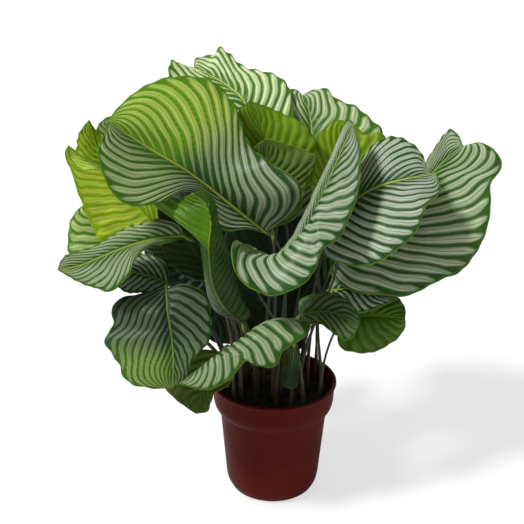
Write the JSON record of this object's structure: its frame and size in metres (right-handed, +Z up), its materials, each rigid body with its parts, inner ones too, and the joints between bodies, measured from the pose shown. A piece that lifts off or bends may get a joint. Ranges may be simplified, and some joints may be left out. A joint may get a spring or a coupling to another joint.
{
  "type": "potted calathea",
  "caption": "Bushy house plant with broad silver-striped leaves on thin stalks, rooted in soil in a round tapered nursery pot with a deep collar.",
  "frame": {"origin": "centre of the pot's flat base, where it stands", "axes": "+Z up along the pot's axis; the front of the plant, with its drooping front leaf, faces -Y"},
  "size_m": [0.5663, 0.3776, 0.5944],
  "materials": {
    "pot": "satin terracotta-brown moulded plastic",
    "soil": "dark crumbly potting soil",
    "leaf": "satin green leaf with silver bands",
    "stalk": "smooth fibrous green to brown stalk"
  },
  "bodies": {
    "root": {"pot": "pot", "soil": "soil", "leaf_left_broad": "leaf", "stalk_left_broad": "stalk", "leaf_back_left": "leaf", "stalk_back_left": "stalk", "leaf_back_right": "leaf", "stalk_back_right": "stalk", "leaf_crown_left": "leaf", "stalk_crown_left": "stalk", "leaf_crown_right": "leaf", "stalk_crown_right": "stalk", "leaf_inner": "leaf", "stalk_inner": "stalk", "leaf_front_tall": "leaf", "stalk_front_tall": "stalk", "leaf_right_upper": "leaf", "stalk_right_upper": "stalk", "leaf_right_outer": "leaf", "stalk_right_outer": "stalk", "leaf_right_low": "leaf", "stalk_right_low": "stalk", "leaf_right_under": "leaf", "stalk_right_under": "stalk", "leaf_front_right": "leaf", "stalk_front_right": "stalk", "leaf_front_drooping": "leaf", "stalk_front_drooping": "stalk", "leaf_lower_left": "leaf", "stalk_lower_left": "stalk", "leaf_left_wing": "leaf", "stalk_left_wing": "stalk", "leaf_left_under": "leaf", "stalk_left_under": "stalk", "leaf_left_bright": "leaf", "stalk_left_bright": "stalk", "leaf_left_rear": "leaf", "stalk_left_rear": "stalk", "leaf_left_top": "leaf", "stalk_left_top": "stalk", "leaf_left_edge": "leaf", "stalk_left_edge": "stalk", "leaf_centre_upright": "leaf", "stalk_centre_upright": "stalk", "leaf_pot_side": "leaf", "stalk_pot_side": "stalk", "leaf_young": "leaf", "stalk_young": "stalk", "leaf_centre_shaded": "leaf", "stalk_centre_shaded": "stalk", "leaf_core": "leaf", "stalk_core": "stalk", "leaf_rear_broad": "leaf", "stalk_rear_broad": "stalk", "leaf_rear_left": "leaf", "stalk_rear_left": "stalk", "leaf_rear_right": "leaf", "stalk_rear_right": "stalk", "leaf_rear_low": "leaf", "stalk_rear_low": "stalk"}
  },
  "joints": []
}
